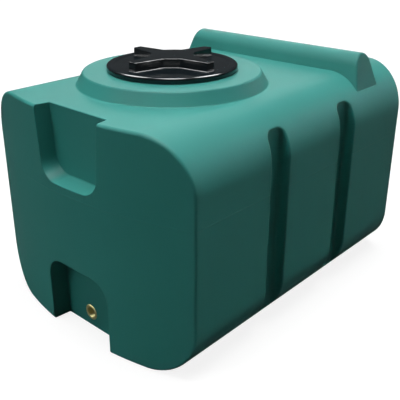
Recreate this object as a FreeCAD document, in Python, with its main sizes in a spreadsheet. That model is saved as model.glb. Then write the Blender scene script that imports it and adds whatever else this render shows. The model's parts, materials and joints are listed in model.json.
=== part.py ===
"""Rotomoulded water tank of about 300 litres with a screw lid.

The tank stands on z = 0 with its length along X, its outlet end at -X and its width along Y.
The origin is the middle of the rectangle that it covers on the floor. All sizes are millimetres.
"""
import FreeCAD, Part
import math
import os
import Sketcher

# Driving dimensions: name, value, what it measures
SIZES = [
    ("TankLength", 957, "over the crowns of the two bowed ends"),
    ("TankWidth", 660, "over the long sides"),
    ("TankHeight", 549, "floor to the flat top"),
    ("TopRound", 120, "radius of the upper long edges"),
    ("BaseRound", 118, "radius of the lower long edges"),
    ("EndBow", 63, "how far each end bows out in plan"),
    ("EndEdge", 7, "radius round the rim of each end"),
    ("Wall", 6, "moulded wall"),
    ("EndWall", 7.5, "moulded wall at the two ends"),
    ("MouthReach", 355, "mouth centre, from the crown of the outlet end"),
    ("MouthShift", 13.5, "mouth centre, from the middle of the width along Y"),
    ("MouthRadius", 131.5, "clear hole of the mouth"),
    ("CollarWall", 8, "wall of the collar that hangs inside the mouth"),
    ("CollarDepth", 36, "collar, down from the boss top"),
    ("BossMargin", 114, "from the boss's top edge to the long side, were it in the middle"),
    ("BossRise", 30.8, "boss above the flat top"),
    ("BossDraft", 28.5, "slope of the boss skirt, degrees from upright"),
    ("BossEdge", 6, "radius of the boss's upper edge"),
    ("BossFoot", 4, "radius where the boss skirt meets the top"),
    ("BossRoot", 30, "how far the boss reaches down into the rounded edge"),
    ("RidgeReach", 200.5, "ridge centre, from the crown of the rear end"),
    ("RidgeRise", 48, "ridge above the flat top"),
    ("RidgeFoot", 43, "half width of the ridge at the flat top"),
    ("RidgeDraft", 16.7, "slope of the ridge flanks, degrees from upright"),
    ("RidgeMargin", 42, "from the ridge's foot to each long side"),
    ("RidgeEndDraft", 15.7, "slope of the ridge's end faces, degrees from upright"),
    ("RidgeRoot", 62, "how far the ridge reaches down into the rounded edges"),
    ("RidgeEdge", 6, "radius round the ridge's end faces"),
    ("RecessHalf", 104, "half width of the hand recess at the top"),
    ("RecessLowHalf", 89.5, "half width of the hand recess at its floor"),
    ("RecessHeight", 166, "hand recess, down from the flat top"),
    ("RecessDepth", 41, "hand recess, in from the crown of the end"),
    ("RecessRound", 46, "radius of the recess's lower corners"),
    ("RecessDraft", 11, "draft of the recess walls, degrees"),
    ("NotchHalf", 103, "half width of the outlet recess"),
    ("NotchHeight", 182, "outlet recess, up from the floor"),
    ("NotchDepth", 50, "outlet recess, in from the crown of the end"),
    ("NotchRound", 55, "radius of the outlet recess's upper corners"),
    ("NotchDraft", 5, "draft of the outlet recess walls, degrees"),
    ("EndFeatureShift", -12, "centre of both end recesses, along Y"),
    ("PocketRound", 3, "radius where recess walls meet the back wall"),
    ("RimRound", 2, "radius of the recess rims"),
    ("GrooveWidth", 66, "strap groove"),
    ("GrooveDepth", 26, "strap groove"),
    ("GrooveDrop", 37, "upper end of the strap grooves, below the flat top"),
    ("GroovePitch", 280, "between the two grooves of one side"),
    ("GrooveDraft", 8, "draft of the groove walls, degrees"),
    ("GrooveRound", 8, "radius along the foot of the groove walls"),
    ("GrooveRim", 5, "radius of the groove rims"),
    ("OutletRise", 38, "outlet centre, above the floor"),
    ("InsertRadius", 20, "outlet insert"),
    ("InsertLength", 34, "outlet insert"),
    ("InsertProud", 1, "how far the insert stands out of the back wall"),
    ("InsertGroove", 1.5, "depth of the two keying grooves"),
    ("InsertGrooveWidth", 5, "width of each keying groove"),
    ("OutletRadius", 12.06, "core radius of the G 3/4 pipe thread"),
    ("OutletBevel", 1.4, "countersink at the outlet's mouth"),
    ("SeatWall", 14, "plastic round the outlet insert"),
    ("LidOverlap", 27, "how far the lid flange reaches past the mouth"),
    ("LidRim", 15.6, "top of the lid's rim above the boss"),
    ("LidRimWidth", 12, "flat of the lid's rim"),
    ("LidDish", 1.6, "how far the disc lies below the rim"),
    ("LidWall", 5, "disc and skirt of the lid"),
    ("LidEdge", 6, "radius of the lid's upper edge"),
    ("LidSkirt", 27, "threaded skirt below the boss top"),
    ("LidFit", 3.5, "gap between the skirt and the mouth"),
    ("GripRise", 21.5, "cross grip above the disc"),
    ("GripSetback", 29.8, "from the lid flange in to the tip of each arm"),
    ("GripTipHalf", 12.4, "half width of an arm at its tip"),
    ("GripRootHalf", 24.2, "half width of an arm at its root"),
    ("GripRootReach", 51, "root of each arm from the centre"),
    ("GripDraft", 3, "draft of the grip's sides, degrees"),
    ("GripTurn", 1.7, "how far the closed grip stands turned clockwise from the tank's axes, degrees"),
    ("GripEdge", 2, "radius of the grip's upper edges"),
    ("GripCorner", 3, "radius of the upright corners at the arms' tips"),
    ("GripFoot", 1.5, "radius along the foot of the grip"),
    ("GasketStep", 6, "from the mouth out to the gasket"),
    ("GasketWidth", 9, "radial width of the gasket"),
    ("GasketHeight", 5, "gasket"),
    ("GasketGroove", 4, "depth of the groove that holds the gasket"),
    ("GasketGap", 0.3, "gap at each side of the gasket in its groove"),
]

SPARE = 40

doc = FreeCAD.newDocument("WaterTank")
sheet = doc.addObject("Spreadsheet::Sheet", "Sizes")
for row, (alias, value, note) in enumerate(SIZES, start=1):
    sheet.set("A%d" % row, alias)
    sheet.set("B%d" % row, str(value))
    sheet.set("C%d" % row, note)
    sheet.setAlias("B%d" % row, alias)
doc.recompute()


def worth(expression):
    """Return the present value of an expression on the sheet's sizes."""
    return float(sheet.evalExpression(str(expression)))


def new_body(name, x="0", y="0", z="0"):
    """Return an empty body whose place is bound to three expressions."""
    body = doc.addObject("PartDesign::Body", name)
    for axis, expression in (("x", x), ("y", y), ("z", z)):
        if expression != "0":
            body.setExpression("Placement.Base." + axis, expression)
    doc.recompute()
    return body


def new_sketch(body, plane, name):
    """Return a sketch on one of the body's own planes: XY_Plane, XZ_Plane or YZ_Plane."""
    sketch = body.newObject("Sketcher::SketchObject", name)
    origin = [feature for feature in body.Origin.OriginFeatures if feature.Role == plane]
    sketch.AttachmentSupport = [(origin[0], "")]
    sketch.MapMode = "FlatFace"
    return sketch


def arc_between(start, end, radius, bulge):
    """Return an arc and whether it runs backwards; bulge +1 turns left from start to end."""
    chord = end - start
    half = chord.Length / 2
    across = FreeCAD.Vector(-chord.y, chord.x, 0).normalize() * bulge
    centre = start + chord / 2 + across * math.sqrt(max(radius ** 2 - half ** 2, 0))
    first, last = (start, end) if bulge > 0 else (end, start)
    from_angle = math.atan2(first.y - centre.y, first.x - centre.x)
    to_angle = math.atan2(last.y - centre.y, last.x - centre.x)
    while to_angle <= from_angle:
        to_angle += 2 * math.pi
    circle = Part.Circle(centre, FreeCAD.Vector(0, 0, 1), radius)
    return Part.ArcOfCircle(circle, from_angle, to_angle), bulge < 0


def draw(sketch, corners, arcs=None):
    """Draw a closed outline whose corners and arc radii are bound to expressions.

    corners holds pairs of expressions. arcs gives, for a corner's number, the radius and the
    turn (+1 left, -1 right) of an arc from that corner to the next, and for a half circle the
    height of its centre.
    """
    arcs = arcs or {}
    places = [FreeCAD.Vector(worth(x), worth(y), 0) for x, y in corners]
    ends = []
    for number, start in enumerate(places):
        end = places[(number + 1) % len(places)]
        if number in arcs:
            radius, turn, *level = arcs[number]
            arc, backwards = arc_between(start, end, worth(radius), turn)
            edge = sketch.addGeometry(arc, False)
            ends.append((edge, 2, 1) if backwards else (edge, 1, 2))
            if level:
                centre = Sketcher.Constraint("DistanceY", -1, 1, edge, 3, worth(level[0]))
                bind(sketch, centre, level[0])
            else:
                bind(sketch, Sketcher.Constraint("Radius", edge, worth(radius)), radius)
        else:
            edge = sketch.addGeometry(Part.LineSegment(start, end), False)
            ends.append((edge, 1, 2))
    for number, (edge, first, last) in enumerate(ends):
        after, after_first, after_last = ends[(number + 1) % len(ends)]
        sketch.addConstraint(Sketcher.Constraint("Coincident", edge, last, after, after_first))
        pin(sketch, edge, first, places[number], corners[number])


def pin(sketch, edge, end, place, expressions):
    """Fix one end of an edge at the coordinates that two expressions give."""
    across, along = expressions
    if across == "0":
        sketch.addConstraint(Sketcher.Constraint("PointOnObject", edge, end, -2))
    else:
        bind(sketch, Sketcher.Constraint("DistanceX", -1, 1, edge, end, place.x), across)
    if along == "0":
        sketch.addConstraint(Sketcher.Constraint("PointOnObject", edge, end, -1))
    else:
        bind(sketch, Sketcher.Constraint("DistanceY", -1, 1, edge, end, place.y), along)


def bind(sketch, constraint, expression):
    """Add a constraint and tie its value to an expression."""
    number = sketch.addConstraint(constraint)
    sketch.setExpression("Constraints[%d]" % number, expression)


def pad(body, sketch, length, name, both_ways=False, backwards=False, taper=None):
    """Pad a sketch by a bound length, to one side or evenly to both."""
    feature = body.newObject("PartDesign::Pad", name)
    feature.Profile = sketch
    feature.setExpression("Length", length)
    feature.Midplane = both_ways
    feature.Reversed = backwards
    if taper:
        feature.setExpression("TaperAngle", taper)
    sketch.Visibility = False
    doc.recompute()
    return feature


def turn(body, sketch, name, axis="V_Axis"):
    """Revolve a sketch about one of its own axes."""
    feature = body.newObject("PartDesign::Revolution", name)
    feature.Profile = sketch
    feature.ReferenceAxis = (sketch, [axis])
    feature.Angle = 360
    sketch.Visibility = False
    doc.recompute()
    return feature


def round_edges(body, base, radius, name, wanted):
    """Fillet every edge of a body's feature that the test wanted picks out."""
    picked = ["Edge%d" % number for number, edge in enumerate(base.Shape.Edges, start=1) if wanted(edge)]
    feature = body.newObject("PartDesign::Fillet", name)
    feature.Base = (base, picked)
    feature.setExpression("Radius", radius)
    doc.recompute()
    return feature


def combine(kind, name, parts):
    """Join (MultiFuse) or intersect (MultiCommon) several objects."""
    result = doc.addObject("Part::" + kind, name)
    result.Shapes = parts
    doc.recompute()
    return result


def cut(name, base, tool):
    """Take one object away from another."""
    result = doc.addObject("Part::Cut", name)
    result.Base = base
    result.Tool = tool
    doc.recompute()
    return result


def upright(edge):
    """Tell whether an edge runs up and down, give or take its draft."""
    return abs(edge.tangentAt(edge.FirstParameter).z) > 0.9


def beyond(edge, axis, limit):
    """Tell whether an edge lies beyond a limit on an axis (0 for X, 1 for Y), at one end of the part."""
    values = [vertex.Point[axis] for vertex in edge.Vertexes]
    return min(values) > limit or max(values) < -limit


def lies_at(edge, level):
    """Tell whether the whole of an edge lies at a level of its body."""
    return abs(edge.BoundBox.ZMin - level) < 0.01 and abs(edge.BoundBox.ZMax - level) < 0.01


def on_both(first, second):
    """Return a test for the edges that lie on the skins of two objects."""
    skins = [Part.Compound(item.Shape.Faces) for item in (first, second)]

    def test(edge):
        """Tell whether the middle of an edge lies on both skins."""
        middle = Part.Vertex(edge.valueAt((edge.FirstParameter + edge.LastParameter) / 2))
        return all(middle.distToShape(skin)[0] < 0.02 for skin in skins)

    return test


def soften(name, base, wanted):
    """Fillet the edges of a joined object; wanted gives a radius for each edge, or nothing."""
    result = doc.addObject("Part::Fillet", name)
    result.Base = base
    radii = [(number, wanted(edge)) for number, edge in enumerate(base.Shape.Edges, start=1)]
    result.Edges = [(number, worth(radius), worth(radius)) for number, radius in radii if radius]
    doc.recompute()
    return result


# The bowed end's radius in plan, the mouth's place along X and the level of the boss top
END_RADIUS = "((Sizes.TankWidth ^ 2 / 4 + Sizes.EndBow ^ 2) / (2 * Sizes.EndBow))"
MOUTH_X = "(Sizes.MouthReach - Sizes.TankLength / 2)"
BOSS_TOP = "(Sizes.TankHeight + Sizes.BossRise)"


def main_block(kind, inset):
    """Make the rounded box with bowed ends, inset all round by an expression."""
    width = "(Sizes.TankWidth / 2 - %s)" % inset
    base = inset
    top = "(Sizes.TankHeight - %s)" % inset
    upper = "(Sizes.TankWidth / 2 - Sizes.TopRound)"
    lower = "(Sizes.TankWidth / 2 - Sizes.BaseRound)"
    shoulder = "(Sizes.TankHeight - Sizes.TopRound)"
    section = new_body(kind + "_section")
    sketch = new_sketch(section, "YZ_Plane", kind + "_section_sketch")
    corners = [("-" + lower, base), (lower, base), (width, "Sizes.BaseRound"), (width, shoulder),
               (upper, top), ("-" + upper, top), ("-" + width, shoulder), ("-" + width, "Sizes.BaseRound")]
    base_radius = "Sizes.BaseRound - %s" % inset
    top_radius = "Sizes.TopRound - %s" % inset
    draw(sketch, corners, {1: (base_radius, 1), 3: (top_radius, 1), 5: (top_radius, 1), 7: (base_radius, 1)})
    pad(section, sketch, "Sizes.TankLength + %d" % SPARE, kind + "_section_pad", both_ways=True)

    reach = "(Sizes.TankWidth / 2 + %d)" % SPARE
    bow = "(%s - %s)" % (END_RADIUS, "0" if inset == "0" else "Sizes.EndWall")
    crown = "(Sizes.TankLength / 2 - %s)" % END_RADIUS
    shoulder_x = "(%s + sqrt(%s ^ 2 - %s ^ 2))" % (crown, bow, reach)
    plan = new_body(kind + "_plan")
    sketch = new_sketch(plan, "XY_Plane", kind + "_plan_sketch")
    corners = [("-" + shoulder_x, "-" + reach), (shoulder_x, "-" + reach), (shoulder_x, reach),
               ("-" + shoulder_x, reach)]
    draw(sketch, corners, {1: (bow, 1), 3: (bow, 1)})
    pad(plan, sketch, "2 * Sizes.TankHeight + %d" % SPARE, kind + "_plan_pad", both_ways=True)
    block = combine("MultiCommon", kind + "_block", [section, plan])

    if inset != "0":
        return block
    limit = worth("Sizes.TankLength / 2 - Sizes.EndBow") - 1
    return soften(kind + "_rounded_block", block,
                  lambda edge: "Sizes.EndEdge" if beyond(edge, 0, limit) else None)


def ridge(kind, inset):
    """Make the round-topped ridge across the top, with sloping end faces."""
    foot = "(Sizes.RidgeFoot - %s)" % inset
    rise = "(Sizes.RidgeRise - %s)" % inset
    slope = "Sizes.RidgeDraft"
    round_top = "((%s * cos(%s) - %s * sin(%s)) / (1 - sin(%s)))" % (foot, slope, rise, slope, slope)
    root_half = "(%s + Sizes.RidgeRoot * tan(%s))" % (foot, slope)
    touch_x = "(%s * cos(%s))" % (round_top, slope)
    touch_z = "(%s - %s + %s * sin(%s))" % (rise, round_top, round_top, slope)
    hump = new_body(kind + "_hump", x="Sizes.TankLength / 2 - Sizes.RidgeReach", z="Sizes.TankHeight")
    sketch = new_sketch(hump, "XZ_Plane", kind + "_hump_sketch")
    corners = [("-" + root_half, "-Sizes.RidgeRoot"), (root_half, "-Sizes.RidgeRoot"), (touch_x, touch_z),
               ("-" + touch_x, touch_z)]
    draw(sketch, corners, {2: (round_top, 1)})
    pad(hump, sketch, "Sizes.TankWidth + %d" % SPARE, kind + "_hump_pad", both_ways=True)

    half = "(Sizes.TankWidth / 2 - Sizes.RidgeMargin - %s)" % inset
    end_slope = "Sizes.RidgeEndDraft"
    crest_half = "(%s - (%s + %d) * tan(%s))" % (half, rise, SPARE, end_slope)
    foot_half = "(%s + Sizes.RidgeRoot * tan(%s))" % (half, end_slope)
    ends = new_body(kind + "_ridge_ends", x="Sizes.TankLength / 2 - Sizes.RidgeReach", z="Sizes.TankHeight")
    sketch = new_sketch(ends, "YZ_Plane", kind + "_ridge_ends_sketch")
    corners = [("-" + foot_half, "-Sizes.RidgeRoot"), (foot_half, "-Sizes.RidgeRoot"),
               (crest_half, "%s + %d" % (rise, SPARE)), ("-" + crest_half, "%s + %d" % (rise, SPARE))]
    draw(sketch, corners)
    pad(ends, sketch, "4 * Sizes.RidgeFoot + %d" % SPARE, kind + "_ridge_ends_pad", both_ways=True)
    crest = combine("MultiCommon", kind + "_ridge", [hump, ends])
    if inset != "0":
        return crest
    level = worth("Sizes.TankHeight - Sizes.RidgeRoot") + 1
    end = worth("%s - Sizes.RidgeRise * tan(%s)" % (half, end_slope)) - 1

    def radius(edge):
        """Give the outline of each end face its radius, but not the foot inside the tank."""
        return "Sizes.RidgeEdge" if beyond(edge, 1, end) and edge.BoundBox.ZMax > level else None

    return soften(kind + "_rounded_ridge", crest, radius)


def boss(kind, inset):
    """Make the boss under the lid: a flat top and a sloping skirt that reaches down into the block."""
    body = new_body(kind + "_boss", x=MOUTH_X, y="Sizes.MouthShift", z="Sizes.TankHeight")
    sketch = new_sketch(body, "XZ_Plane", kind + "_boss_sketch")
    top = "(Sizes.BossRise - %s)" % inset
    edge = "(Sizes.TankWidth / 2 - Sizes.BossMargin - %s)" % inset
    root = "(%s + (%s + Sizes.BossRoot) * tan(Sizes.BossDraft))" % (edge, top)
    draw(sketch, [("0", "-Sizes.BossRoot"), (root, "-Sizes.BossRoot"), (edge, top), ("0", top)])
    turned = turn(body, sketch, kind + "_boss_turned")
    if inset == "0":
        level = worth(top)
        round_edges(body, turned, "Sizes.BossEdge", kind + "_boss_edge", lambda rim: lies_at(rim, level))
    return body


def end_pocket(kind, inset, label, half, low_half, depth, height, corner, draft, from_top):
    """Make the form of a recess in the outlet end, open at the top or at the floor."""
    flare = "%d * tan(%s)" % (SPARE, draft)
    lean = "(%s - %s) * %d / %s" % (half, low_half, SPARE, height)
    grown_half = "(%s + %s + %s + %s)" % (half, inset, flare, lean)
    grown_low = "(%s + %s + %s)" % (low_half, inset, flare)
    closed = "%s(%s + %s + %s)" % ("-" if from_top else "", height, inset, flare)
    spare = "%s%d" % ("" if from_top else "-", SPARE)
    body = new_body(kind + label, x="-Sizes.TankLength / 2 - %d" % SPARE, y="Sizes.EndFeatureShift",
                    z="Sizes.TankHeight" if from_top else "0")
    sketch = new_sketch(body, "YZ_Plane", kind + label + "_sketch")
    corners = [("-" + grown_half, spare), ("-" + grown_low, closed), (grown_low, closed),
               (grown_half, spare)]
    draw(sketch, corners)
    length = "%s + %s + %d" % (depth, inset, SPARE)
    reach = worth(length)
    prism = pad(body, sketch, length, kind + label + "_pad", taper="-" + draft)
    level = worth(closed)

    def along_closed_side(edge):
        """Pick the two edges that run in along the closed side."""
        box = edge.BoundBox
        return box.XLength > SPARE and abs((box.ZMin + box.ZMax) / 2 - level) < SPARE

    rounded = round_edges(body, prism, "%s + %s" % (corner, inset), kind + label + "_corners",
                          along_closed_side)
    if inset == "0":
        round_edges(body, rounded, "Sizes.PocketRound", kind + label + "_back",
                    lambda edge: edge.BoundBox.XLength < 0.01 and abs(edge.Vertexes[0].X - reach) < 0.01)
    return body


def strap_groove(kind, inset, label, along, side):
    """Make the form of one strap groove: a round-topped slot that runs out at the rounded lower edge."""
    half = "(Sizes.GrooveWidth / 2 + %s + %d * tan(Sizes.GrooveDraft))" % (inset, SPARE)
    centre = "(Sizes.TankHeight - Sizes.GrooveDrop - Sizes.GrooveWidth / 2)"
    body = new_body(kind + label, x=along, y="%s * (Sizes.TankWidth / 2 + %d)" % (side, SPARE))
    sketch = new_sketch(body, "XZ_Plane", kind + label + "_sketch")
    corners = [("-" + half, "-%d" % SPARE), (half, "-%d" % SPARE), (half, centre), ("-" + half, centre)]
    draw(sketch, corners, {2: (half, 1, centre)})
    length = "Sizes.GrooveDepth + %s + %d" % (inset, SPARE)
    slot = pad(body, sketch, length, kind + label + "_pad", backwards=side == "-1",
               taper="-Sizes.GrooveDraft")
    if inset == "0":
        reach = worth(length)
        round_edges(body, slot, "Sizes.GrooveRound", kind + label + "_floor",
                    lambda edge: edge.BoundBox.YLength < 0.01 and abs(abs(edge.Vertexes[0].Y) - reach) < 0.01
                    and edge.BoundBox.ZMax > 0)
    return body


def tank_form(kind, inset):
    """Make the whole outside of the tank, or its cavity when inset is the wall."""
    block = combine("MultiFuse", kind + "_ridged_block", [main_block(kind, inset), ridge(kind, inset)])
    mound = boss(kind, inset)
    whole = combine("MultiFuse", kind + "_whole", [block, mound])
    if inset == "0":
        at_foot = on_both(block, mound)
        whole = soften(kind + "_whole_rounded", whole,
                       lambda edge: "Sizes.BossFoot" if at_foot(edge) else None)
    tools = [end_pocket(kind, inset, "_recess", "Sizes.RecessHalf", "Sizes.RecessLowHalf",
                        "Sizes.RecessDepth", "Sizes.RecessHeight", "Sizes.RecessRound",
                        "Sizes.RecessDraft", True),
             end_pocket(kind, inset, "_notch", "Sizes.NotchHalf", "Sizes.NotchHalf",
                        "Sizes.NotchDepth", "Sizes.NotchHeight", "Sizes.NotchRound",
                        "Sizes.NotchDraft", False)]
    for number, (along, side) in enumerate((("-", "-1"), ("", "-1"), ("-", "1"), ("", "1")), start=1):
        centre = along + "Sizes.GroovePitch / 2"
        tools.append(strap_groove(kind, inset, "_groove_%d" % number, centre, side))
    hollows = combine("MultiFuse", kind + "_hollows", tools)
    return whole, hollows, cut(kind + "_form", whole, hollows)


def ring(name, outline, x="0", y="0", z="0", lying=False, arcs=None):
    """Turn an outline of radius and height about the upright axis, or about X when lying."""
    body = new_body(name, x=x, y=y, z=z)
    sketch = new_sketch(body, "XZ_Plane", name + "_sketch")
    draw(sketch, outline, arcs)
    turn(body, sketch, name + "_turned", "H_Axis" if lying else "V_Axis")
    return body


# The outside form, its cavity and the softened rims
whole, hollows, form = tank_form("outer", "0")
on_rim = on_both(whole, hollows)


def rim_radius(edge):
    """Give the rims of the recesses and of the strap grooves their radii."""
    if not on_rim(edge):
        return None
    return "Sizes.GrooveRim" if beyond(edge, 1, worth("Sizes.TankWidth / 4")) else "Sizes.RimRound"


rimmed = soften("outer_rimmed", form, rim_radius)
_, _, core = tank_form("core", "Sizes.Wall")

# The shell, with the collar inside the mouth and the seat round the outlet insert
MOUTH = {"x": MOUTH_X, "y": "Sizes.MouthShift", "z": BOSS_TOP}
BACK_X = "(-Sizes.TankLength / 2 + Sizes.NotchDepth)"
collar_outer = "(Sizes.MouthRadius + Sizes.CollarWall)"
collar = ring("collar", [("Sizes.MouthRadius - 1", "-Sizes.CollarDepth"),
                         (collar_outer, "-Sizes.CollarDepth"), (collar_outer, "-Sizes.Wall / 2"),
                         ("Sizes.MouthRadius - 1", "-Sizes.Wall / 2")], **MOUTH)
mouth = ring("mouth", [("0", "-2 * Sizes.CollarDepth"), ("Sizes.MouthRadius", "-2 * Sizes.CollarDepth"),
                       ("Sizes.MouthRadius", "Sizes.CollarDepth"), ("0", "Sizes.CollarDepth")], **MOUTH)
seat_radius = "(Sizes.InsertRadius + Sizes.SeatWall)"
seat_end = "(Sizes.InsertLength - Sizes.InsertProud)"
seat = ring("seat", [("Sizes.Wall / 2", "0"), (seat_end, "0"), (seat_end, seat_radius),
                     ("Sizes.Wall / 2", seat_radius)],
            x=BACK_X, z="Sizes.OutletRise", lying=True)

# The outlet insert, and the same outside form without a bore to seat it in
groove_floor = "(Sizes.InsertRadius - Sizes.InsertGroove)"
start = "(-Sizes.InsertProud)"


def insert_outline(inner):
    """Return the insert's half section, with its two keying grooves, from an inner outline."""
    first = "(Sizes.InsertLength / 3 - Sizes.InsertProud - Sizes.InsertGrooveWidth / 2)"
    second = "(Sizes.InsertLength * 2 / 3 - Sizes.InsertProud - Sizes.InsertGrooveWidth / 2)"
    outside = [(seat_end, "Sizes.InsertRadius")]
    for place in (second, first):
        outside += [("(%s + Sizes.InsertGrooveWidth)" % place, "Sizes.InsertRadius"),
                    ("(%s + Sizes.InsertGrooveWidth)" % place, groove_floor),
                    (place, groove_floor), (place, "Sizes.InsertRadius")]
    outside.append((start, "Sizes.InsertRadius"))
    return inner + outside


bevel_radius = "(Sizes.OutletRadius + Sizes.OutletBevel)"
bore = [(start, bevel_radius), ("(%s + Sizes.OutletBevel)" % start, "Sizes.OutletRadius"),
        ("(%s - Sizes.OutletBevel)" % seat_end, "Sizes.OutletRadius"), (seat_end, bevel_radius)]
insert = ring("outlet_insert", insert_outline(bore), x=BACK_X, z="Sizes.OutletRise", lying=True)
plug = ring("insert_seat_form", insert_outline([(start, "0"), (seat_end, "0")]), x=BACK_X,
            z="Sizes.OutletRise", lying=True)

hollow = cut("hollow_tank", rimmed, core)
filled = combine("MultiFuse", "hollow_tank_with_collar", [hollow, collar, seat])
openings = combine("MultiFuse", "openings", [mouth, plug])
tank = cut("tank_body", filled, openings)

# The gasket, held in a groove under the lid's flange
gasket_inner = "(Sizes.MouthRadius + Sizes.GasketStep)"
gasket_outer = "(%s + Sizes.GasketWidth)" % gasket_inner
gasket = ring("lid_gasket", [(gasket_inner, "0"), (gasket_outer, "0"), (gasket_outer, "Sizes.GasketHeight"),
                             (gasket_inner, "Sizes.GasketHeight")], **MOUTH)

# The screw lid: flange, disc and skirt turned in one, then the cross grip on its disc
under = "(Sizes.GasketHeight - Sizes.GasketGroove)"
disc = "(Sizes.LidRim - Sizes.LidDish)"
disc_under = "(%s - Sizes.LidWall)" % disc
skirt = "(Sizes.MouthRadius - Sizes.LidFit)"
groove_inner = "(%s - Sizes.GasketGap)" % gasket_inner
groove_outer = "(%s + Sizes.GasketGap)" % gasket_outer
flange = "(Sizes.MouthRadius + Sizes.LidOverlap)"
rim_start = "(%s - Sizes.LidEdge)" % flange
lid = ring("screw_lid", [("0", disc_under), ("(%s - Sizes.LidWall)" % skirt, disc_under),
                         ("(%s - Sizes.LidWall)" % skirt, "-Sizes.LidSkirt"), (skirt, "-Sizes.LidSkirt"),
                         (skirt, under), (groove_inner, under), (groove_inner, "Sizes.GasketHeight"),
                         (groove_outer, "Sizes.GasketHeight"), (groove_outer, under), (flange, under),
                         (flange, "(Sizes.LidRim - Sizes.LidEdge)"), (rim_start, "Sizes.LidRim"),
                         ("(%s - Sizes.LidRimWidth)" % rim_start, "Sizes.LidRim"),
                         ("(%s - Sizes.LidRimWidth - 2 * Sizes.LidDish)" % rim_start, disc), ("0", disc)],
           arcs={10: ("Sizes.LidEdge", 1)}, **MOUTH)


def from_axis(vertex):
    """Return how far a vertex of the lid lies from the lid's own axis."""
    return math.hypot(vertex.X, vertex.Y)


grip_reach = "(%s - Sizes.GripSetback)" % flange


def cross(name, level):
    """Sketch the outline of the four-armed grip at a height above the lid's own origin."""
    sketch = new_sketch(lid, "XY_Plane", name)
    clockwise = FreeCAD.Rotation(FreeCAD.Vector(0, 0, -1), 1)
    sketch.AttachmentOffset = FreeCAD.Placement(FreeCAD.Vector(), clockwise)
    sketch.setExpression("AttachmentOffset.Rotation.Angle", "Sizes.GripTurn")
    sketch.setExpression("AttachmentOffset.Base.z", level)
    quarter = [("Sizes.GripRootReach", "-Sizes.GripRootHalf"), (grip_reach, "-Sizes.GripTipHalf"),
               (grip_reach, "Sizes.GripTipHalf"), ("Sizes.GripRootReach", "Sizes.GripRootHalf")]
    flip = {False: lambda text: "-" + text, True: lambda text: text[1:]}
    corners = []
    for _ in range(4):
        corners += quarter
        quarter = [(flip[y.startswith("-")](y), x) for x, y in quarter]
    draw(sketch, corners)
    return sketch


grip_sketch = cross("grip_outline", "%s - Sizes.LidWall / 2" % disc)
grip = pad(lid, grip_sketch, "Sizes.GripRise + Sizes.LidWall / 2", "grip", taper="-Sizes.GripDraft")
tips = worth(grip_reach) - 5
grip = round_edges(lid, grip, "Sizes.GripCorner", "grip_corners",
                   lambda edge: upright(edge) and from_axis(edge.Vertexes[0]) > tips)
grip_top = worth("%s + Sizes.GripRise" % disc)
grip = round_edges(lid, grip, "Sizes.GripEdge", "grip_edges", lambda edge: lies_at(edge, grip_top))
disc_top = worth(disc)
round_edges(lid, grip, "Sizes.GripFoot", "grip_foot",
            lambda edge: lies_at(edge, disc_top) and from_axis(edge.Vertexes[0]) < tips + 10)

# Checks, then one file for each piece
for item in doc.Objects:
    if "Invalid" in item.State or "Error" in item.State:
        raise RuntimeError("%s did not build" % item.Name)
os.makedirs("parts", exist_ok=True)
for item in (tank, lid, gasket, insert):
    item.Label = item.Name
    shape = item.Shape
    if shape.isNull() or not shape.isValid() or len(shape.Solids) != 1:
        raise RuntimeError("%s is not one sound solid" % item.Name)
    shape.exportStep("parts/%s.step" % item.Label)
    box = shape.BoundBox
    print("%-14s %9.1f cm3  x %.1f %.1f  y %.1f %.1f  z %.1f %.1f" % (
        item.Name, shape.Volume / 1000, box.XMin, box.XMax, box.YMin, box.YMax, box.ZMin, box.ZMax))
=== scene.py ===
"""Looks of a rotomoulded water tank with a screw lid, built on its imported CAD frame."""

from __future__ import annotations

import json
import logging
import math
from dataclasses import dataclass
from enum import Enum
from typing import Any, Optional, Sequence, Union

import bpy
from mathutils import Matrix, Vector

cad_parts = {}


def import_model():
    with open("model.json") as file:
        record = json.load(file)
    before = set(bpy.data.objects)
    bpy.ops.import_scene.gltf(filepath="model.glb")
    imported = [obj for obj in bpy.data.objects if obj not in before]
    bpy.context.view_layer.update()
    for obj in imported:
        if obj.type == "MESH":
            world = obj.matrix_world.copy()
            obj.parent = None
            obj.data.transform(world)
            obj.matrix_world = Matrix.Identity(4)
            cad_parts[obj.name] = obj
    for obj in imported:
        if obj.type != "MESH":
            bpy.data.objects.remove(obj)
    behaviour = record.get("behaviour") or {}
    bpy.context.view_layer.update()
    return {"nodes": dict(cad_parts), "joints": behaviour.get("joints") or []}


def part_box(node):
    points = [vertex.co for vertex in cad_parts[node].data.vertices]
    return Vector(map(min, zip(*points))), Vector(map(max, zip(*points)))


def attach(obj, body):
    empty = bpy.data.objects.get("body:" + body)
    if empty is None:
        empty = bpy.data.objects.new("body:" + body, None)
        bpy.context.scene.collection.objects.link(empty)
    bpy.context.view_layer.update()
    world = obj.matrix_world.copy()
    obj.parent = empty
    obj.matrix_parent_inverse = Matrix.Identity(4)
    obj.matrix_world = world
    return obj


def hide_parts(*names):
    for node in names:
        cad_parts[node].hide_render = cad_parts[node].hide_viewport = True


LOG = logging.getLogger("water_tank")
Number = Union[int, float]
Colour = tuple[float, float, float]
MM = 0.001
MIDDLE = (0.3, 0.7)


class TankBody(Enum):
    """The rigid bodies that carry the added pieces, by their names in the record."""

    TANK = "tank"
    LID = "lid"


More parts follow.
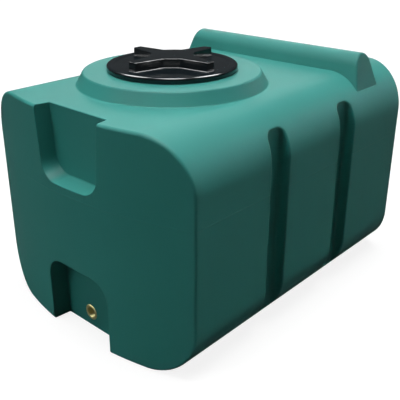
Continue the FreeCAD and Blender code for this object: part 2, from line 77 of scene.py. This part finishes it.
class Signal:
    """A shader socket that takes part in Python expressions."""

    def __init__(self, shader: "Shader", socket: bpy.types.NodeSocket) -> None:
        """Wrap an output socket of a shader's tree.

        Args:
            shader: The shader whose tree holds the socket.
            socket: The output socket.
        """
        self.shader = shader
        self.socket = socket

    def _math(self, operation: str, *values: Any) -> "Signal":
        """Add a Math node.

        Args:
            operation: The Math node's operation.
            values: Numbers or signals for its inputs, in order.

        Returns:
            The node's value.
        """
        return self.shader.node("ShaderNodeMath", {"operation": operation}, dict(enumerate(values)))

    def __add__(self, other: Any) -> "Signal":
        """Return self + other."""
        return self._math("ADD", self, other)

    def __radd__(self, other: Any) -> "Signal":
        """Return other + self."""
        return self._math("ADD", other, self)

    def __sub__(self, other: Any) -> "Signal":
        """Return self - other."""
        return self._math("SUBTRACT", self, other)

    def __rsub__(self, other: Any) -> "Signal":
        """Return other - self."""
        return self._math("SUBTRACT", other, self)

    def __mul__(self, other: Any) -> "Signal":
        """Return self * other."""
        return self._math("MULTIPLY", self, other)

    def __rmul__(self, other: Any) -> "Signal":
        """Return other * self."""
        return self._math("MULTIPLY", other, self)

    def size(self) -> "Signal":
        """Return the absolute value."""
        return self._math("ABSOLUTE", self)

    def band(self, start: Number, end: Number, low: Number = 0.0, high: Number = 1.0) -> "Signal":
        """Map a smooth step to an output range.

        Args:
            start: Where the step begins.
            end: Where the step ends.
            low: Value before the step.
            high: Value after the step.

        Returns:
            The mapped value.
        """
        sockets = {0: self, 1: start, 2: end, 3: low, 4: high}
        return self.shader.node("ShaderNodeMapRange", {"interpolation_type": "SMOOTHSTEP"}, sockets)


class Shader:
    """A material or world whose node tree is written in expressions."""

    def __init__(self, owner: Union[bpy.types.Material, bpy.types.World]) -> None:
        """Empty the tree of a new material or world.

        Args:
            owner: The material or world.
        """
        self.owner = owner
        owner.use_nodes = True
        self.tree = owner.node_tree
        self.tree.nodes.clear()

    @classmethod
    def material(cls, name: str) -> "Shader":
        """Start a material of that name."""
        return cls(bpy.data.materials.new(name))

    def node(
        self,
        kind: str,
        settings: Optional[dict[str, Any]] = None,
        sockets: Optional[dict[Union[int, str], Any]] = None,
        output: Union[int, str] = 0,
    ) -> Signal:
        """Add any node: its settings first, then its sockets' values or links.

        Args:
            kind: The node's type.
            settings: Attributes to set on the node.
            sockets: Values or signals, by input number or name.
            output: The output to return, by number or name.

        Returns:
            The chosen output.
        """
        made = self.tree.nodes.new(kind)
        for key, value in (settings or {}).items():
            setattr(made, key, value)
        for key, value in (sockets or {}).items():
            socket = made.inputs[key]
            if isinstance(value, Signal):
                self.tree.links.new(value.socket, socket)
            else:
                socket.default_value = value
        return Signal(self, made.outputs[output])

    def where(self) -> Signal:
        """Return the surface point in object space, in metres."""
        return self.node("ShaderNodeTexCoord", output="Object")

    def height(self, point: Signal) -> Signal:
        """Return a point's height."""
        return self.node("ShaderNodeSeparateXYZ", sockets={0: point}, output="Z")

    def ray(self, *kinds: str) -> Signal:
        """Tell rays of some kinds from all others.

        Args:
            kinds: The kinds, such as Camera or Glossy.

        Returns:
            1 for rays of those kinds, 0 for others.
        """
        flags = [self.node("ShaderNodeLightPath", output=f"Is {kind} Ray") for kind in kinds]
        total = flags[0]
        for flag in flags[1:]:
            total = total + flag
        return total

    def noise(self, vector: Signal, scale: Number, detail: Number) -> Signal:
        """Add a noise texture.

        Args:
            vector: Where to read it.
            scale: Its scale, in waves to the metre.
            detail: Its octaves.

        Returns:
            The noise, from 0 to 1.
        """
        sockets = {"Vector": vector, "Scale": scale, "Detail": detail}
        return self.node("ShaderNodeTexNoise", sockets=sockets)

    def blend(self, factor: Any, first: Any, second: Any) -> Signal:
        """Mix two colours.

        Args:
            factor: 0 gives the first, 1 the second.
            first: A colour or signal.
            second: A colour or signal.

        Returns:
            The mixed colour.
        """
        first = (*first, 1.0) if isinstance(first, tuple) else first
        second = (*second, 1.0) if isinstance(second, tuple) else second
        return self.node("ShaderNodeMix", {"data_type": "RGBA"}, {0: factor, 6: first, 7: second}, output=2)

    def bump(
        self, height: Signal, strength: Number, distance: Number, under: Optional[Signal] = None
    ) -> Signal:
        """Turn a height into a normal.

        Args:
            height: The height.
            strength: The bump's strength.
            distance: The bump's height in metres.
            under: A normal that this one is laid over.

        Returns:
            The normal.
        """
        sockets = {"Height": height, "Strength": strength, "Distance": distance}
        if under is not None:
            sockets["Normal"] = under
        return self.node("ShaderNodeBump", sockets=sockets)

    def finish(self, sockets: dict[Union[int, str], Any]) -> bpy.types.Material:
        """Close the tree with a Principled surface.

        Args:
            sockets: The surface's values or links, by name.

        Returns:
            The material.
        """
        self.show(self.node("ShaderNodeBsdfPrincipled", sockets=sockets))
        return self.owner

    def show(self, surface: Signal) -> None:
        """Link a surface or background to the tree's output.

        Args:
            surface: What the material or world shows.
        """
        kind = "World" if isinstance(self.owner, bpy.types.World) else "Material"
        output = self.tree.nodes.new("ShaderNodeOutput" + kind)
        self.tree.links.new(surface.socket, output.inputs["Surface"])


@dataclass(frozen=True)
class TankPlastic:
    """Green polyethylene with the fine grain of a rotomoulded skin."""

    colour: Colour = (0.046, 0.330, 0.290)
    shade: Colour = (0.043, 0.315, 0.277)
    roughness: float = 0.42
    unevenness: float = 0.03
    ior: float = 1.5
    cloud_scale: float = 5.0
    cloud_band: tuple[float, float] = (0.35, 0.7)
    cloud_relief: float = 0.6
    grain_scale: float = 900.0
    grain_relief: float = 0.5
    skin_strength: float = 0.15
    skin_depth: float = 0.8 * MM
    parting_strength: float = 0.5
    parting_height: float = 364.0 * MM
    parting_core: float = 0.6 * MM
    parting_edge: float = 2.2 * MM

    def make(self) -> bpy.types.Material:
        """Build the material, with its mould's parting line."""
        s = Shader.material("tank_plastic")
        point = s.where()
        cloud = s.noise(point, self.cloud_scale, 3.0)
        grain = s.noise(point, self.grain_scale, 2.0)
        colour = s.blend(cloud.band(*self.cloud_band), self.shade, self.colour)
        off_line = (s.height(point) - self.parting_height).size()
        line = 1.0 - off_line.band(self.parting_core, self.parting_edge)
        relief = grain * self.grain_relief + cloud * self.cloud_relief
        skin = s.bump(relief, self.skin_strength, self.skin_depth)
        rough = cloud.band(*MIDDLE, self.roughness - self.unevenness, self.roughness + self.unevenness)
        return s.finish({
            "Base Color": colour,
            "Roughness": rough,
            "IOR": self.ior,
            "Normal": s.bump(line, self.parting_strength, self.skin_depth, skin),
        })


@dataclass(frozen=True)
class LidPlastic:
    """Glossy black polypropylene with a light moulding texture."""

    colour: Colour = (0.005, 0.009, 0.0115)
    cloudy: float = 1.3
    roughness: float = 0.17
    smoother: float = 0.02
    rougher: float = 0.03
    ior: float = 1.49
    cloud_scale: float = 30.0
    grain_scale: float = 1200.0
    grain_relief: float = 0.5
    skin_strength: float = 0.08
    skin_depth: float = 0.3 * MM

    def make(self) -> bpy.types.Material:
        """Build the material."""
        s = Shader.material("lid_plastic")
        point = s.where()
        cloud = s.noise(point, self.cloud_scale, 3.0)
        grain = s.noise(point, self.grain_scale, 2.0)
        clouded = tuple(self.cloudy * share for share in self.colour)
        rough = cloud.band(*MIDDLE, self.roughness - self.smoother, self.roughness + self.rougher)
        return s.finish({
            "Base Color": s.blend(cloud.band(*MIDDLE), self.colour, clouded),
            "Roughness": rough,
            "IOR": self.ior,
            "Normal": s.bump(grain * self.grain_relief + cloud, self.skin_strength, self.skin_depth),
        })


@dataclass(frozen=True)
class GasketRubber:
    """Plain black rubber."""

    colour: Colour = (0.012, 0.012, 0.012)
    dusty: Colour = (0.03, 0.03, 0.03)
    roughness: float = 0.7
    unevenness: float = 0.08
    dust_scale: float = 250.0
    skin_depth: float = 0.4 * MM

    def make(self) -> bpy.types.Material:
        """Build the material."""
        s = Shader.material("gasket_rubber")
        dust = s.noise(s.where(), self.dust_scale, 3.0)
        rough = dust.band(0.2, 0.8, self.roughness - self.unevenness, self.roughness + self.unevenness)
        return s.finish({
            "Base Color": s.blend(dust.band(0.4, 0.8), self.colour, self.dusty),
            "Roughness": rough,
            "Normal": s.bump(dust, 0.2, self.skin_depth),
        })


@dataclass(frozen=True)
class InsertBrass:
    """Turned brass, slightly dulled."""

    colour: Colour = (0.81, 0.77, 0.40)
    dull: Colour = (0.69, 0.61, 0.25)
    roughness: float = 0.42
    dull_roughness: float = 0.52
    stain_scale: float = 120.0
    turning_scale: float = 1500.0
    turning_depth: float = 0.3 * MM

    def make(self) -> bpy.types.Material:
        """Build the material."""
        s = Shader.material("insert_brass")
        point = s.where()
        stain = s.noise(point, self.stain_scale, 4.0)
        turning = s.noise(point, self.turning_scale, 1.0)
        return s.finish({
            "Base Color": s.blend(stain.band(0.4, 0.75), self.colour, self.dull),
            "Metallic": 1.0,
            "Roughness": stain.band(0.3, 0.8, self.roughness, self.dull_roughness),
            "Normal": s.bump(turning, 0.1, self.turning_depth),
        })


def add_mesh(name: str, points: Sequence[Vector], faces: Sequence[Sequence[int]]) -> bpy.types.Object:
    """Make a smooth-shaded mesh object in the row frame.

    Args:
        name: The object's name.
        points: Its vertices, in metres.
        faces: Its faces, as numbers of vertices.

    Returns:
        The object.
    """
    mesh = bpy.data.meshes.new(name)
    mesh.from_pydata(list(points), [], [tuple(face) for face in faces])
    mesh.polygons.foreach_set("use_smooth", [True] * len(mesh.polygons))
    mesh.update()
    made = bpy.data.objects.new(name, mesh)
    bpy.context.collection.objects.link(made)
    return made


@dataclass
class DressedTank:
    """The CAD pieces that keep their own form, with their finishes."""

    materials: dict[str, bpy.types.Material]

    def build(self, nodes: dict[str, bpy.types.Object]) -> None:
        """Give each CAD node its finish and smooth shading.

        Args:
            nodes: The CAD nodes by name.
        """
        for name, material in self.materials.items():
            node = nodes[name]
            node.data.materials.clear()
            node.data.materials.append(material)
            self.smooth(node)
            LOG.info("dressed %s with %d faces", name, len(node.data.polygons))

    def smooth(self, node: bpy.types.Object) -> None:
        """Weight a node's normals by the faces around them.

        Args:
            node: The CAD node.
        """
        weights = node.modifiers.new("weighted_normals", "WEIGHTED_NORMAL")
        weights.mode = "FACE_AREA_WITH_ANGLE"
        weights.keep_sharp = True


@dataclass
class ScrewThread:
    """A right-hand helical rib on an upright round wall, tapered out at both ends."""

    name: str
    wall: float
    reach: float
    low: float
    high: float
    pitch: float = 12.0 * MM
    foot: float = 5.0 * MM
    crest: float = 2.2 * MM
    sunk: float = 0.4 * MM
    taper: float = 0.125
    steps: int = 72

    def section(self, angle: float, share: float) -> list[Vector]:
        """Return the rib's four corners at an angle.

        Args:
            angle: The angle along the helix, in radians.
            share: How much of its full reach the rib has there.

        Returns:
            The corners, about the wall's own axis.
        """
        rise = self.low + self.pitch * angle / (2 * math.pi)
        side = math.copysign(1.0, self.reach)
        root = self.wall - side * self.sunk
        tip = self.wall + self.reach * share
        low, high = (root, -self.foot / 2), (root, self.foot / 2)
        corners = (low, (tip, -self.crest / 2), (tip, self.crest / 2), high)
        return [Vector((r * math.cos(angle), r * math.sin(angle), rise + z)) for r, z in corners]

    def build(self, centre: Vector, body: TankBody, slot: str, material: bpy.types.Material) -> None:
        """Make the rib.

        Args:
            centre: A point on the wall's axis at floor level.
            body: The body that it moves with.
            slot: The record's material slot; not used.
            material: Its finish.
        """
        turns = (self.high - self.low) / self.pitch
        count = int(turns * self.steps)
        run_in = self.taper * self.steps
        points: list[Vector] = []
        faces: list[Sequence[int]] = [(3, 2, 1, 0)]
        for step in range(count + 1):
            share = min(1.0, step / run_in, (count - step) / run_in)
            points += [centre + corner for corner in self.section(2 * math.pi * step / self.steps, share)]
        for step in range(count):
            first = 4 * step
            for side in range(4):
                after = (side + 1) % 4
                faces.append((first + side, first + after, first + 4 + after, first + 4 + side))
        last = 4 * count
        faces.append((last, last + 1, last + 2, last + 3))
        rib = add_mesh(self.name, points, faces)
        rib.data.materials.append(material)
        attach(rib, body.value)
        LOG.info("%s has %d faces", self.name, len(faces))


@dataclass
class ThreadedInsert:
    """The brass outlet insert with its pipe thread cut in the bore."""

    material: bpy.types.Material
    core: float = 12.06 * MM
    depth: float = 1.16 * MM
    pitch: float = 1.814 * MM
    bevel: float = 1.4 * MM
    keying: float = 1.5 * MM
    keying_width: float = 5.0 * MM
    keying_places: tuple[float, float] = (1 / 3, 2 / 3)
    rim_depth: float = 1.0 * MM
    rim_width: float = 1.5 * MM
    sharp_angle: float = 30.0
    steps: int = 72
    rows_per_turn: int = 10

    def outside(self, low: Vector, high: Vector) -> list[tuple[float, float]]:
        """Return the outer outline from the mouth to the inner end, as places and radii.

        Args:
            low: The solid's lowest corner.
            high: The solid's highest corner.

        Returns:
            The outline's points, with the keying grooves of the solid.
        """
        length = high.x - low.x
        radius = (high.y - low.y) / 2
        groove = radius - self.keying
        outline = [(low.x, radius - self.rim_width), (low.x + self.rim_depth, radius)]
        for share in self.keying_places:
            start = low.x + length * share - self.keying_width / 2
            end = start + self.keying_width
            outline += [(start, radius), (start, groove), (end, groove), (end, radius)]
        return outline + [(high.x, radius)]

    def bore(self, low: Vector, high: Vector, turn: float) -> list[tuple[float, float]]:
        """Return the bore's outline from the inner end to the mouth, at one angle round it.

        Args:
            low: The solid's lowest corner.
            high: The solid's highest corner.
            turn: The angle as a share of a whole turn.

        Returns:
            The outline's points.
        """
        start, end = low.x + self.bevel, high.x - self.bevel
        rows = int((end - start) / self.pitch * self.rows_per_turn)
        outline = [(high.x, self.core + self.bevel)]
        for row in range(rows, -1, -1):
            place = start + (end - start) * row / rows
            wave = ((place - start) / self.pitch + turn) % 1.0
            fade = min(1.0, 2 * min(place - start, end - place) / self.pitch)
            outline.append((place, self.core + self.depth * fade * (1 - abs(2 * wave - 1))))
        return outline + [(low.x, self.core + self.bevel)]

    def build(self) -> None:
        """Make the insert in the place of the CAD node outlet_insert."""
        low, high = (Vector(corner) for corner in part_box("outlet_insert"))
        axis_y, axis_z = (low.y + high.y) / 2, (low.z + high.z) / 2
        points: list[Vector] = []
        for step in range(self.steps):
            turn = step / self.steps
            across, up = math.cos(2 * math.pi * turn), math.sin(2 * math.pi * turn)
            for place, radius in self.outside(low, high) + self.bore(low, high, turn):
                points.append(Vector((place, axis_y + radius * across, axis_z + radius * up)))
        ring = len(points) // self.steps
        faces = []
        for step in range(self.steps):
            here, there = step * ring, (step + 1) % self.steps * ring
            for row in range(ring):
                after = (row + 1) % ring
                faces.append((here + row, here + after, there + after, there + row))
        insert = add_mesh("threaded_insert", points, faces)
        insert.data.materials.append(self.material)
        self.crisp(insert)
        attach(insert, TankBody.TANK.value)
        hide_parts("outlet_insert")
        LOG.info("threaded_insert has %d faces", len(faces))

    def crisp(self, insert: bpy.types.Object) -> None:
        """Mark the insert's sharp edges so that its faces stay flat.

        Args:
            insert: The insert's object.
        """
        insert.data.set_sharp_from_angle(angle=math.radians(self.sharp_angle))


@dataclass
class Threads:
    """The coarse thread between the lid's skirt and the mouth."""

    lid: bpy.types.Material
    tank: bpy.types.Material
    mouth_radius: float = 131.5 * MM
    skirt_gap: float = 3.5 * MM
    reach: float = 2.3 * MM
    boss_top: float = 579.8 * MM
    end_gap: float = 4.5 * MM

    def build(self, axis: Vector) -> None:
        """Make both ribs, half a pitch apart so that they pass each other.

        Args:
            axis: The point where the lid's axis meets the floor.
        """
        skirt_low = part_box("screw_lid")[0][2]
        outer = ScrewThread(
            name="lid_thread",
            wall=self.mouth_radius - self.skirt_gap,
            reach=self.reach,
            low=skirt_low + self.end_gap,
            high=self.boss_top - self.end_gap,
        )
        outer.build(axis, TankBody.LID, "lid_plastic", self.lid)
        inner = ScrewThread(
            name="mouth_thread",
            wall=self.mouth_radius,
            reach=-self.reach,
            low=outer.low - outer.pitch / 2,
            high=self.boss_top - self.end_gap,
        )
        inner.build(axis, TankBody.TANK, "tank_plastic", self.tank)


def grey(level: float) -> tuple[float, float, float, float]:
    """Return an opaque grey, from 0 for black to 1 for white."""
    return (level, level, level, 1.0)


@dataclass(frozen=True)
class SoftSun:
    """A soft light: where it stands and how wide it is in degrees, and its power.

    A light with a piece's name gives that piece its highlights and does nothing else.
    """

    name: str
    elevation: float
    azimuth: float
    power: float
    softness: float
    piece: str = ""

    def source(self) -> Vector:
        """Return the way from the tank to the light."""
        up, round_ = math.radians(self.elevation), math.radians(self.azimuth)
        return Vector((math.cos(up) * math.cos(round_), math.cos(up) * math.sin(round_), math.sin(up)))


@dataclass
class Studio:
    """Pale floor, soft light from above and the photograph's camera, whose angles are in radians."""

    camera_place: tuple[float, float, float] = (-1.2278, -1.0687, 0.9353)
    camera_turn: float = -0.8305
    camera_tilt: float = 0.4058
    lens: float = 57.88
    shift: tuple[float, float] = (0.0134, -0.0365)
    sensor: float = 36.0
    clip: tuple[float, float] = (0.05, 60.0)
    floor_size: float = 14.0
    floor_glow: float = 1.12
    floor_glow_share: float = 0.76
    floor_shade: float = 0.8
    floor_mirrored: float = 0.06
    mirrored: float = 0.07
    light_distance: float = 3.0
    suns: tuple[SoftSun, ...] = (
        SoftSun("key", 75.0, 120.0, 1.80, 30.0),
        SoftSun("rear_key", 75.0, -20.0, 1.90, 30.0),
        SoftSun("left_fill", 40.0, 160.0, 0.74, 20.0),
        SoftSun("right_fill", 12.0, -14.0, 1.28, 14.0),
        SoftSun("tank_sheen", 34.0, 42.0, 0.47, 46.0, "tank_body"),
        SoftSun("front_sheen", 75.0, 221.0, 0.9, 30.0, "tank_body"),
        SoftSun("lid_front", 62.0, 221.0, 7.0, 38.0, "screw_lid"),
        SoftSun("lid_left", 52.0, 124.0, 5.6, 34.0, "screw_lid"),
        SoftSun("lid_right", 52.0, -42.0, 7.6, 34.0, "screw_lid"),
        SoftSun("brass_glint", 8.0, 140.0, 2.6, 70.0, "threaded_insert"),
    )

    def build(self) -> None:
        """Make the floor, the light and the camera."""
        self.floor()
        self.world()
        self.lights()
        self.camera()

    def floor(self) -> None:
        """Make a floor that is white to the camera, with the tank's faint shadow, and dim in reflections."""
        half = self.floor_size / 2
        corners = ((-half, -half), (half, -half), (half, half), (-half, half))
        floor = add_mesh("floor", [Vector((*corner, 0.0)) for corner in corners], [(0, 1, 2, 3)])
        s = Shader.material("floor")
        bright = s.node("ShaderNodeEmission", sockets={"Color": grey(1.0), "Strength": self.floor_glow})
        pale = s.node("ShaderNodeBsdfDiffuse", sockets={"Color": grey(self.floor_shade)})
        dim = s.node("ShaderNodeBsdfDiffuse", sockets={"Color": grey(self.floor_mirrored)})
        lit = s.node("ShaderNodeMixShader", sockets={0: self.floor_glow_share, 1: pale, 2: bright})
        seen = s.ray("Camera", "Transmission")
        s.show(s.node("ShaderNodeMixShader", sockets={0: seen, 1: dim, 2: lit}))
        floor.data.materials.append(s.owner)

    def world(self) -> None:
        """Show white to the camera, a dim room to reflections, and no light of its own."""
        s = Shader(bpy.data.worlds.new("studio"))
        level = s.ray("Glossy") * self.mirrored
        room = s.node("ShaderNodeBackground", sockets={"Color": grey(1.0), "Strength": level})
        shown = s.node("ShaderNodeBackground", sockets={"Color": grey(1.0), "Strength": 1.0})
        seen = s.ray("Camera", "Transmission")
        s.show(s.node("ShaderNodeMixShader", sockets={0: seen, 1: room, 2: shown}))
        bpy.context.scene.world = s.owner

    def lights(self) -> None:
        """Hang two broad key lights above the tank, a fill at each side, and lights for highlights."""
        for sun in self.suns:
            data = bpy.data.lights.new(sun.name, "SUN")
            data.energy = sun.power
            data.angle = math.radians(sun.softness)
            light = bpy.data.objects.new(sun.name, data)
            light.location = self.light_distance * sun.source()
            light.rotation_mode = "QUATERNION"
            light.rotation_quaternion = sun.source().to_track_quat("Z", "Y")
            light.visible_diffuse = not sun.piece
            light.visible_glossy = bool(sun.piece)
            bpy.context.collection.objects.link(light)
            if sun.piece:
                lit = bpy.data.collections.new(sun.name)
                lit.objects.link(bpy.data.objects[sun.piece])
                light.light_linking.receiver_collection = lit

    def camera(self) -> None:
        """Set the camera that was worked out from the photograph."""
        data = bpy.data.cameras.new("camera")
        data.sensor_width = self.sensor
        data.lens = self.lens
        data.shift_x, data.shift_y = self.shift
        data.clip_start, data.clip_end = self.clip
        camera = bpy.data.objects.new("camera", data)
        turn, tilt = self.camera_turn, self.camera_tilt
        level = Vector((-math.sin(turn), math.cos(turn), 0.0))
        ahead = level * math.cos(tilt) - Vector((0.0, 0.0, math.sin(tilt)))
        camera.location = self.camera_place
        camera.rotation_mode = "QUATERNION"
        camera.rotation_quaternion = ahead.to_track_quat("-Z", "Y")
        bpy.context.collection.objects.link(camera)
        bpy.context.scene.camera = camera


def lid_axis(joints: Sequence[dict[str, Any]]) -> Vector:
    """Return the point where the lid's axis meets the floor.

    Args:
        joints: The record's joints.

    Returns:
        The point, in metres.
    """
    hinge = next(joint for joint in joints if joint["name"] == "lid_turn")
    return Vector((hinge["pos_m"][0], hinge["pos_m"][1], 0.0))


def main() -> None:
    """Build the whole scene on the CAD frame."""
    logging.basicConfig(level=logging.INFO, format="%(name)s: %(message)s")
    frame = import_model()
    bpy.context.scene.view_settings.view_transform = "Standard"
    tank, lid = TankPlastic().make(), LidPlastic().make()
    finishes = {"tank_body": tank, "screw_lid": lid, "lid_gasket": GasketRubber().make()}
    DressedTank(finishes).build(frame["nodes"])
    Threads(lid=lid, tank=tank).build(lid_axis(frame["joints"]))
    ThreadedInsert(InsertBrass().make()).build()
    Studio().build()
    LOG.info("all pieces built")


if __name__ == "__main__":
    main()
